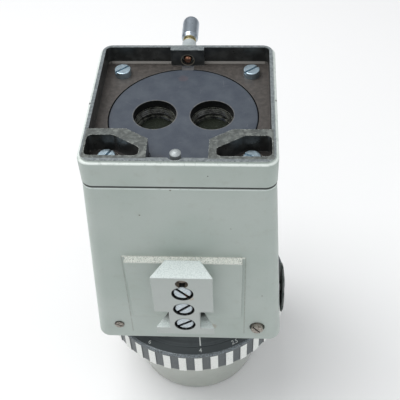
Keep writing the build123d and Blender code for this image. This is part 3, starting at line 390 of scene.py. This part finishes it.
# walls nearly black, floor warm dark grey
wall = m.mix(m.step(m.noise(0.25, 4.0), 0.4, 0.7), lin(34, 36, 36), lin(58, 60, 59))
base = m.mix(m.step(m.noise(0.5, 5.0, 0.7), 0.35, 0.7), lin(58, 54, 51), lin(80, 75, 71))
pocket = m.mul(m.step(m.y, -20.9, -21.3), m.step(ax, 14.6, 15.2))
base = m.mix(m.mul(pocket, 0.75), base, lin(38, 35, 34))
inner = m.mix(flat, wall, base)
# painted highlight along the foot of the back and side walls, and pale worn edges with painted highlight
back_wall_foot_highlight = m.mul(m.step(m.y, 36.3, 36.7), m.band(m.z, -0.3, 0.95, 0.08), m.band(m.ny, -0.95, -0.35, 0.1))
side_wall_foot_highlight = m.mul(m.step(ax, 36.4, 36.8), m.band(m.z, -0.3, 0.95, 0.08), m.band(m.absv(m.nx), 0.35, 0.95, 0.1))
inner = m.mix(m.mul(back_wall_foot_highlight, 0.6), inner, lin(140, 136, 130))
inner = m.mix(m.mul(side_wall_foot_highlight, 0.55), inner, lin(150, 146, 140))
inner = m.mix(m.mul(rim_edge_wear_and_highlight, 0.35), inner, lin(120, 122, 120))
# milled crescent in front of the clamp screw, painted as a bluish glare highlight, and the bore rim
cr = m.radius(0.0, 3.0, m.x, m.z)
crescent_glare = m.mul(0.5, m.step(cr, 4.5, 3.7), m.step(m.z, -0.05, -0.25), m.step(m.y, 29.5, 30.0), m.step(m.y, 35.4, 35.0))
inner = m.mix(crescent_glare, inner, lin(196, 202, 210))
borerim = m.mul(m.band(cr, 2.7, 3.15, 0.08), m.step(m.y, 35.4, 35.0), m.step(m.ny, -0.5, -0.8))
inner = m.mix(m.mul(borerim, 0.7), inner, lin(168, 160, 140))
# worn ring round the front screw seats
sx = m.sub(ax, 29.25)
seat_r = m.mth("SQRT", m.add(m.mul(sx, sx), m.mul(m.add(m.y, 27.0), m.add(m.y, 27.0))))
seatm = m.mul(m.band(seat_r, 4.7, 5.35, 0.1), flat, pocket)
inner = m.mix(m.mul(seatm, 0.6), inner, lin(120, 112, 104))
body = m.mix(inside, paint, inner)
body = m.mix(m.mul(top, m.step(inset, 4.45, 4.3)), body, topcol)
# outside: painted highlight along the shoulder under the rim and on the outer edges, chips on the front corners
shoulder_highlight = m.mul(m.band(m.z, 7.0, 7.75, 0.12), m.inv(inside))
body = m.mix(m.mul(shoulder_highlight, m.step(m.noise(0.6, 4.0), 0.25, 0.5), 0.75), body, lin(226, 232, 228))
outer_edge_highlight = m.mul(m.edge(0.4), m.inv(inside), m.step(m.noise(0.7, 4.0), 0.38, 0.6))
body = m.mix(m.mul(outer_edge_highlight, 0.6), body, lin(224, 230, 226))
for sx_, sy_, sz_, r in ((-39.4, -1.0, 7.7, 0.7), (39.4, 1.5, 7.7, 0.6), (-39.5, 4.0, 7.5, 0.35), (12.0, -37.3, 1.5, 0.3)):
    body = m.mix(m.spot(sx_, sy_, sz_, r), body, lin(86, 88, 84))
# painted shadow in the split seam along the bottom of the tray
tray_seam_shadow = m.mul(m.step(m.z, -4.6, -4.85), m.inv(inside))
body = m.mix(m.mul(tray_seam_shadow, 0.92), body, lin(38, 42, 40))
m.colour(body)
lacq = m.mul(inside, m.inv(flat))
m.rough(m.add(m.mul(lacq, -0.15), m.step(m.noise(0.3, 3.0), 0.3, 0.7, 0.42, 0.55)))
m.bump((peel, 0.15, 0.04), (m.noise(3.0, 3.0), 0.12, 0.02), rounded=0.35)
tray_finish = m.m

# seat plate ----------------------------------------------------------------
m = Mat("seat_coating", rough=0.48, spec=0.4)
c1 = m.mix(m.step(m.noise(0.12, 4.0, 0.6), 0.35, 0.68), lin(60, 67, 78), lin(72, 79, 88))
c1 = m.mix(m.mul(m.step(m.noise(3.2, 3.0, 0.7), 0.5, 0.75), 0.5), c1, lin(90, 96, 104))
c1 = m.mix(m.mul(m.spot(-1.5, 25.5, 0.0, 2.2, 0.9), 0.22), c1, lin(104, 80, 78))
c1 = m.mix(m.mul(m.spot(-8.0, -27.0, 0.0, 3.0, 0.8), 0.25), c1, lin(70, 66, 68))
pr = m.mth("SQRT", m.add(m.mul(m.sub(m.absv(m.x), 12.3), m.sub(m.absv(m.x), 12.3)),
                         m.mul(m.sub(m.y, AX_Y), m.sub(m.y, AX_Y))))
lip = m.mul(m.band(pr, 9.3, 9.72, 0.08), m.step(m.z, -0.2, -0.05))
c1 = m.mix(m.mul(lip, m.step(m.noise(0.7, 3.0), 0.3, 0.6), 0.45), c1, lin(132, 128, 120))
bore = m.mul(m.step(pr, 9.5, 9.4), m.step(m.z, -0.05, -0.2))
c1 = m.mix(bore, c1, lin(16, 17, 17))
rr = m.radius(0.0, 0.0, m.x, m.y)
# darker outer edge of the plate: painted shade along its gap to the tray floor
c1 = m.mix(m.mul(m.step(rr, 31.65, 31.85), 0.5), c1, lin(60, 62, 68))
hair = m.cells(0.16, "DISTANCE_TO_EDGE", vec=m.stretch(1.0, 0.5, 0.01))
c1 = m.mix(m.mul(m.step(hair, 0.006, 0.001), m.step(m.noise(0.2, 2.0), 0.55, 0.65), 0.25), c1, lin(170, 172, 176))
m.colour(c1)
m.rough(m.step(m.noise(0.4, 3.0), 0.3, 0.7, 0.42, 0.56))
m.bump((m.noise(4.0, 3.0), 0.25, 0.02), rounded=0.2)
seat_coating = m.m


# bare and plated metals ------------------------------------------------------
def turned(name, base, alt, rough, centre=None, plane="xy", pitch=0.35, metallic=1.0, grime=None, fold=None):
    """turned or brushed metal: rings about an axis if centre is given, else fine directionless grain"""
    m = Mat(name, metallic=metallic, rough=rough)
    if centre:
        a, b = {"xy": (m.x, m.y), "xz": (m.x, m.z), "yz": (m.y, m.z)}[plane]
        if fold:
            a = m.absv(a)
            b = m.sub(b, m.step(b, -0.1, 0.1, fold[0], fold[1])) if fold[0] is not None else b
            r = m.radius(centre[0], 0.0, a, b)
        else:
            r = m.radius(centre[0], centre[1], a, b)
        v = m.join(r, 0.0, 0.0)
        g = m.noise(1.0 / pitch, 3.0, 0.6, vec=v)
    else:
        g = m.noise(1.4, 4.0, 0.65)
    mott = m.noise(0.8, 4.0, 0.6)
    col = m.mix(m.step(g, 0.35, 0.65), base, alt)
    col = m.mix(m.mul(m.step(mott, 0.45, 0.75), 0.35), col, alt)
    if grime:
        col = m.mix(m.mul(m.step(m.noise(1.1, 4.0, 0.7), 0.5, 0.64), grime[1]), col, grime[0])
    # painted highlight on sharp edges
    edge = m.mul(m.edge(0.15), 0.4)
    col = m.mix(edge, col, lin(236, 238, 238))
    m.colour(col)
    m.rough(m.step(mott, 0.3, 0.7, rough - 0.06, rough + 0.1))
    m.bump((g, 0.15, 0.02), (m.noise(5.0, 2.0), 0.08, 0.01), rounded=0.15)
    return m


zinc_tray = turned("zinc_tray_screws", lin(158, 178, 190), lin(190, 208, 218), 0.4, (29.25, 0), "xy", 0.4,
                   fold=(-27.0, 28.6)).m
zinc = turned("zinc_plate", lin(150, 164, 176), lin(190, 200, 208), 0.36).m
ground = turned("ground_steel", lin(150, 156, 158), lin(178, 184, 184), 0.5, (-0.7, -32.0), "xy", 0.5, metallic=0.45).m
spindle = turned("ground_spindle", lin(160, 162, 162), lin(200, 201, 200), 0.26, (0.0, 3.0), "xz", 0.4).m
steel = turned("plain_steel", lin(165, 168, 170), lin(200, 202, 204), 0.3).m
brass = turned("turned_brass", lin(168, 156, 110), lin(196, 184, 138), 0.34, (0.0, 3.0), "xz", 0.4).m
copper = turned("worn_brass_tip", lin(126, 86, 68), lin(172, 130, 108), 0.3).m
gear_brass = turned("gear_brass", lin(190, 164, 100), lin(214, 190, 128), 0.34).m
bright = turned("bright_plating", lin(160, 170, 182), lin(188, 198, 206), 0.33, (0.0, 3.0), "xz", 0.8).m
alu = turned("milled_aluminium", lin(176, 178, 180), lin(206, 208, 209), 0.42).m
m = turned("corroded_screws", lin(134, 128, 120), lin(186, 180, 170), 0.46, metallic=0.6, grime=(lin(88, 72, 60), 0.85))
# painted shade in the screw slots and recesses deeper than the head face
sr = m.radius(33.8, -98.5, m.absv(m.x), m.z)
depth = m.add(m.y, m.step(m.x, -1.0, 1.0, 43.1, 44.4))
slot_shade = m.mul(m.step(sr, 2.85, 2.7), m.step(depth, 0.2, 0.45))
m.colour(m.mix(m.mul(slot_shade, 0.85), m.b.inputs["Base Color"].links[0].from_socket, lin(36, 32, 28)))
chassis = m.m
pin_brown = turned("tarnished_pin", lin(150, 140, 130), lin(180, 172, 162), 0.4, (0.0, -50.0), "xz", 0.5, metallic=0.6,
                   grime=(lin(112, 98, 86), 0.6)).m

# dovetail screws: light zinc, the top one with rust low on its right
m = turned("dovetail_screws", lin(172, 184, 190), lin(204, 212, 216), 0.4, metallic=0.75)
old = m.b.inputs["Base Color"].links[0].from_socket
rust = m.mul(m.spot(2.6, -50.5, -59.8, 1.9, 0.5), m.step(m.noise(1.3, 4.0), 0.36, 0.52))
# painted shade on the parts of the screws that sit deeper in the counterbores
screw_recess_shade = m.mix(m.mul(m.step(m.y, -51.6, -51.35), 0.88), old, lin(30, 30, 28))
m.colour(m.mix(rust, screw_recess_shade, lin(150, 92, 38)))
dscrew = m.m

# dovetail: light grey, with a speckled painted highlight on its upward faces
m = Mat("dovetail_finish", rough=0.45, coat=0.1, coat_rough=0.3)
base, peel, fine = paint_base(m)
base = m.mix(0.55, base, lin(186, 190, 188))
up_face = m.step(m.nz, 0.5, 0.75)
spk = m.noise(1.7, 4.0, 0.75)
top_face_highlight = m.mix(m.step(spk, 0.42, 0.62), lin(232, 240, 238), lin(206, 216, 214))
base = m.mix(m.mul(up_face, 0.95), base, top_face_highlight)
# pale edges: edge wear with a painted highlight
dovetail_edge_wear_and_highlight = m.mul(m.edge(0.35), m.step(m.noise(0.8, 4.0), 0.36, 0.55))
base = m.mix(m.mul(dovetail_edge_wear_and_highlight, 0.7), base, lin(226, 230, 228))
rustring = m.mul(m.spot(3.4, -52.4, -60.6, 1.3, 0.6), m.step(m.noise(1.4, 4.0), 0.4, 0.55), 0.75)
base = m.mix(rustring, base, lin(176, 142, 92))
# painted shade in the counterbores round the screw heads
counterbore_shade = None
for cz in (-57.2, -69.4, -81.6):
    r = m.radius(0.0, cz, m.x, m.z)
    ring = m.mth("MAXIMUM", m.mul(m.step(r, 4.75, 4.6), m.step(m.y, -52.36, -52.2)),
                 m.mul(m.step(r, 5.0, 4.8), m.step(m.noise(0.9, 3.0), 0.15, 0.42)))
    counterbore_shade = ring if counterbore_shade is None else m.mth("MAXIMUM", counterbore_shade, ring)
base = m.mix(counterbore_shade, base, lin(18, 20, 20))
# painted shadow in the notches under the upper guide land
notch_shadow_reach = m.add(m.y, m.mul(m.sub(m.noise(0.5, 4.0, 0.7), 0.5), 5.0))
notch_shadow = m.mul(m.step(m.absv(m.x), 6.8, 6.98), m.band(m.z, -84.9, -71.4, 0.1), m.step(notch_shadow_reach, -50.0, -44.5))
base = m.mix(m.mul(notch_shadow, m.step(m.absv(m.x), 12.5, 8.0, 0.45, 1.0), 0.95), base, lin(34, 36, 30))
# threaded wall of the stop pin hole
ph = m.radius(0.0, -50.0, m.x, m.z)
hole = m.mul(m.step(ph, 3.0, 2.9), m.step(m.y, -52.38, -52.25))
thread = m.step(m.mth("SINE", m.mul(m.y, 12.0)), -0.3, 0.5)
base = m.mix(hole, base, m.mix(thread, lin(84, 76, 66), lin(150, 142, 130)))
m.colour(base)
m.rough(m.step(m.noise(0.5, 3.0), 0.3, 0.7, 0.38, 0.52))
m.bump((peel, 0.12, 0.04), (fine, 0.1, 0.02), rounded=0.3)
dovetail_finish = m.m

# clamp bush: the same enamel, bright where it is turned ----------------------
m = Mat("bush_finish", rough=0.38, metallic=0.35)
base, peel, fine = paint_base(m)
m.colour(m.mix(m.step(m.y, 41.0, 41.4), base, lin(190, 198, 200)))
m.bump((m.noise(2.5, 2.0), 0.15, 0.02), rounded=0.2)
bush_finish = m.m

# black optics parts ------------------------------------------------------------
m = Mat("lens_cell_black", rough=0.16, coat=0.8, coat_rough=0.05)
pr = m.mth("SQRT", m.add(m.mul(m.sub(m.absv(m.x), 12.3), m.sub(m.absv(m.x), 12.3)),
                         m.mul(m.sub(m.y, AX_Y), m.sub(m.y, AX_Y))))
gl = m.mul(m.step(m.noise(0.5, 4.0, 0.7), 0.42, 0.62), 0.5)
c = m.mix(gl, lin(10, 11, 11), lin(40, 43, 41))
# painted glints on the thread crests and a painted highlight on the edges
thread_glint = m.mul(m.step(pr, 9.0, 8.85), m.step(m.noise(0.35, 3.0, 0.6), 0.4, 0.62))
c = m.mix(m.mul(thread_glint, 0.45), c, lin(120, 122, 112))
c = m.mix(m.mul(m.edge(0.12), 0.9), c, lin(150, 150, 136))
m.colour(c)
m.bump((m.noise(3.0, 3.0), 0.3, 0.03), rounded=0.12)
cell_black = m.m

m = Mat("dark_anodised", rough=0.36, metallic=0.5)
g = m.noise(2.2, 4.0, 0.65)
c = m.mix(m.step(g, 0.35, 0.7), lin(34, 35, 36), lin(56, 58, 60))
# painted highlight on the edges
c = m.mix(m.mul(m.edge(0.2), 0.5), c, lin(120, 122, 124))
m.colour(c)
m.bump((g, 0.15, 0.02), rounded=0.15)
anodised = m.m

# scale collar -----------------------------------------------------------------
m = Mat("collar_finish", rough=0.34, metallic=0.35)
r = m.radius(0.0, AX_Y, m.x, m.y)
g = m.noise(2.4, 3.0, 0.6, vec=m.join(r, m.mul(m.z, 0.6), 0.0))
c = m.mix(m.step(g, 0.3, 0.7), lin(62, 68, 70), lin(76, 82, 84))
c = m.mix(m.mul(m.step(m.noise(0.6, 4.0), 0.5, 0.75), 0.3), c, lin(50, 55, 56))
m.colour(c)
m.rough(m.step(m.noise(0.3, 3.0), 0.3, 0.7, 0.3, 0.42))
m.bump((g, 0.12, 0.02), rounded=0.2)
collar_finish = m.m

# zoom ring: dark grooves and white ribs ---------------------------------------
m = Mat("ring_dark", rough=0.4, metallic=0.25)
g = m.noise(1.8, 4.0, 0.6)
c = m.mix(m.step(g, 0.35, 0.7), lin(82, 88, 90), lin(100, 106, 108))
rr = m.radius(0.0, AX_Y, m.x, m.y)
# painted speckled highlight along the ring's upper rim
rim_highlight = m.mul(m.band(m.z, -118.2, -116.7, 0.1), m.step(rr, 48.1, 48.4))
c = m.mix(m.mul(rim_highlight, m.step(m.noise(1.5, 4.0, 0.75), 0.42, 0.56), 0.75), c, lin(150, 158, 164))
cone = m.step(m.z, -117.35, -117.1)
c = m.mix(m.mul(cone, m.step(rr, 48.7, 48.5)), c, lin(64, 70, 72))
m.colour(c)
m.bump((g, 0.15, 0.03), rounded=0.15)
ring_dark = m.m

m = Mat("ring_white", rough=0.42, metallic=0.0)
g = m.noise(1.3, 4.0, 0.65)
c = m.mix(m.step(g, 0.4, 0.75), lin(244, 246, 242), lin(226, 229, 224))
c = m.mix(m.mul(m.step(m.noise(2.4, 3.0, 0.7), 0.6, 0.7), 0.5), c, lin(178, 176, 166))
c = m.mix(m.mul(m.step(m.z, -119.0, -118.4), 0.4), c, lin(150, 146, 132))
m.colour(c)
m.bump((g, 0.2, 0.03), rounded=0.12)
ring_white = m.m

# objective barrel --------------------------------------------------------------
m = Mat("barrel_enamel", rough=0.2, coat=0.8, coat_rough=0.04)
c = m.mix(m.step(m.noise(0.05, 3.0), 0.3, 0.7), lin(186, 190, 182), lin(176, 181, 173))
c = m.mix(m.mul(m.step(m.noise(0.7, 4.0, 0.6), 0.55, 0.8), 0.3), c, lin(138, 142, 134))
c = m.mix(m.mul(m.step(m.z, -177.9, -178.6), 0.7), c, lin(118, 122, 120))
m.colour(c)
m.rough(m.step(m.noise(0.3, 3.0), 0.3, 0.7, 0.16, 0.26))
m.bump((m.noise(0.8, 2.0), 0.08, 0.03), rounded=0.3)
barrel_enamel = m.m

# side knob -----------------------------------------------------------------------
m = Mat("knob_plastic", rough=0.45, coat=0.15, coat_rough=0.3)
g = m.noise(1.2, 4.0, 0.6)
c = m.mix(m.step(g, 0.35, 0.7), lin(46, 56, 53), lin(62, 73, 69))
c = m.mix(m.mul(m.edge(0.25), m.step(m.noise(1.0, 3.0), 0.4, 0.6), 0.6), c, lin(96, 104, 100))
m.colour(c)
m.bump((g, 0.15, 0.03), rounded=0.3)
knob_plastic = m.m

# optical glass ---------------------------------------------------------------------
m = Mat("coated_glass", rough=0.03, spec=0.6)
m.b.inputs["Transmission Weight"].default_value = 0.85
m.b.inputs["IOR"].default_value = 1.6
m.b.inputs["Coat Weight"].default_value = 0.4
m.b.inputs["Coat Roughness"].default_value = 0.02
m.b.inputs["Thin Film Thickness"].default_value = 130.0
m.b.inputs["Thin Film IOR"].default_value = 1.38
dust = m.step(m.noise(1.6, 4.0, 0.7), 0.6, 0.75)
m.colour(m.mix(m.mul(dust, 0.12), lin(104, 112, 98), lin(120, 118, 104)))
m.rough(m.mul(dust, 0.06))
coated_glass = m.m

white_fill = Mat("scale_white", rough=0.5)
g = white_fill.noise(2.5, 3.0)
white_fill.colour(white_fill.mix(white_fill.step(g, 0.4, 0.7), lin(196, 200, 198), lin(226, 229, 226)))
white_fill.bump((g, 0.1, 0.01))
white_fill = white_fill.m

by_slot = {
    "grey_paint": housing_enamel, "seat_coating": seat_coating, "zinc_steel": zinc, "ground_steel": steel,
    "brass": gear_brass, "bright_metal": bright, "machined_aluminium": alu, "black_anodised": anodised,
    "optical_glass": coated_glass, "ring_coating": ring_dark, "barrel_paint": barrel_enamel,
    "knob_plastic": knob_plastic,
}
by_node = {
    "tray_frame": tray_finish, "dovetail_block": dovetail_finish, "clamp_bush": bush_finish,
    "tray_screws": zinc_tray, "locating_pin": ground, "clamp_spindle": spindle, "clamp_neck_ring": brass,
    "plunger_tip": copper, "dovetail_screws": dscrew, "stop_pin": pin_brown, "chassis_screws": chassis,
    "port_cell_left": cell_black, "port_cell_right": cell_black, "port_retaining_rings": cell_black,
    "index_collar": collar_finish,
}
slot_of = {p["node"]: p["material_slot"] for p in frame["record"]["subparts"]}
for name, obj in nodes.items():
    mat = by_node.get(name) or by_slot[slot_of[name]]
    obj.data.materials.clear()
    obj.data.materials.append(mat)


# ------------------------------------------------------------------ zoom ring with real ribs
def link(name, mesh, mats, body):
    o = bpy.data.objects.new(name, mesh)
    scene.collection.objects.link(o)
    for x in mats:
        mesh.materials.append(x)
    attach(o, body)
    return o


RIBS = 38
PITCH = 2 * math.pi / RIBS
RIB_AT = math.radians(-4.2)  # centre of the rib nearest the front, from -Y towards +X
RIB_SHARE = 0.475
GROOVE = 0.42
OUTER = [(40.05, -131.35, 0), (45.0, -131.4, 0), (45.0, -132.85, 0), (48.4, -132.85, 0), (48.8, -132.7, 1), (49.45, -132.1, 1),
         (49.75, -131.7, 1), (49.8, -131.4, 1), (49.8, -124.5, 1), (49.8, -119.0, 1), (49.8, -118.75, 0), (49.8, -118.3, 0),
         (49.55, -117.7, 0), (49.15, -117.25, 0), (48.7, -117.12, 0), (48.45, -117.0, 0), (47.3, -115.8, 0), (46.05, -114.56, 0),
         (44.3, -114.56, 0), (44.3, -119.3, 0), (40.05, -119.3, 0)]
SUB = [0.0, 0.012, 0.03, 0.12, 0.25, 0.375, 0.5, 0.625, 0.75, 0.88, 0.97, 0.988]  # steps within a rib or a groove
angles = []
for i in range(RIBS):
    start = RIB_AT + i * PITCH - RIB_SHARE * PITCH / 2
    for f in SUB:
        angles.append((start + f * RIB_SHARE * PITCH, 1, f))
    for f in SUB:
        angles.append((start + (RIB_SHARE + f * (1 - RIB_SHARE)) * PITCH, 0, f))
bm = bmesh.new()
rows = []
for a, is_rib, f in angles:
    row = []
    for r, z, ribbed in OUTER:
        if ribbed:
            depth = 0.0 if is_rib else GROOVE * min(1.0, f / 0.03, (1 - f) / 0.012 if f > 0.5 else 1.0)
            if is_rib and f == 0.0:
                depth = 0.1
            r = r - depth
        row.append(bm.verts.new((r * math.sin(a) * MM, (AX_Y - r * math.cos(a)) * MM, z * MM)))
    rows.append(row)
n_prof = len(OUTER)
for i in range(len(rows)):
    j = (i + 1) % len(rows)
    white = angles[i][1] == 1
    for k in range(n_prof):
        l = (k + 1) % n_prof
        fc = bm.faces.new((rows[i][k], rows[j][k], rows[j][l], rows[i][l]))
        fc.material_index = 1 if (white and OUTER[k][2] and OUTER[l][2]) else 0
bmesh.ops.recalc_face_normals(bm, faces=bm.faces)
ring_mesh = bpy.data.meshes.new("ribbed_zoom_ring")
bm.to_mesh(ring_mesh)
bm.free()
ring_obj = link("ribbed_zoom_ring", ring_mesh, [ring_dark, ring_white], "zoom_ring")
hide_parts("zoom_ring")


# ------------------------------------------------------------------ scale numbers and index line
def number(text, angle_deg, size, r0, z0, r1, z1, body, name, at=0.5):
    """raised lettering on a cone that runs from (r0, z0) to (r1, z1), read from outside"""
    cu = bpy.data.curves.new(name, "FONT")
    cu.body = text
    cu.size = size * MM
    cu.align_x = "CENTER"
    cu.align_y = "CENTER"
    cu.extrude = 0.02 * MM
    tmp = bpy.data.objects.new(name + "_tmp", cu)
    scene.collection.objects.link(tmp)
    bpy.context.view_layer.update()
    mesh = bpy.data.meshes.new_from_object(tmp.evaluated_get(bpy.context.evaluated_depsgraph_get()))
    bpy.data.objects.remove(tmp)
    a = math.radians(angle_deg)
    out = Vector((math.sin(a), -math.cos(a), 0.0))
    along = Vector((math.cos(a), math.sin(a), 0.0))
    down = (out * (r1 - r0) + Vector((0, 0, z1 - z0))).normalized()
    upv = -down
    nor = along.cross(upv).normalized()
    r, z = r0 + (r1 - r0) * at, z0 + (z1 - z0) * at
    pos = (out * r + Vector((0, AX_Y, z)) + nor * 0.02) * MM
    mesh.transform(Matrix.Translation(pos) @ Matrix((along, upv, nor)).transposed().to_4x4())
    mesh.name = name
    mesh.materials.clear()
    return link(name, mesh, [white_fill], body)


for text, ang in (("10", -58), ("6", -25.5), ("4", 7), ("2.5", 29), ("1.6", 52)):
    number(text, ang, 2.9, 46.05, -114.55, 48.45, -117.0, "zoom_ring", "scale_" + text.replace(".", "_"), 0.5)

bm = bmesh.new()
a = math.radians(7.2)
out = Vector((math.sin(a), -math.cos(a), 0.0))
along = Vector((math.cos(a), math.sin(a), 0.0))
nor = Vector((out.x, out.y, 1.0)).normalized()
line = []
for r, z in ((41.9, -110.4), (45.55, -114.05)):
    for s in (-0.32, 0.32):
        for h in (-0.02, 0.03):
            line.append(bm.verts.new((out * r + Vector((0, AX_Y, z)) + along * s + nor * h) * MM))
bmesh.ops.convex_hull(bm, input=line)
mesh = bpy.data.meshes.new("index_line")
bm.to_mesh(mesh)
bm.free()
link("index_line", mesh, [white_fill], "housing")
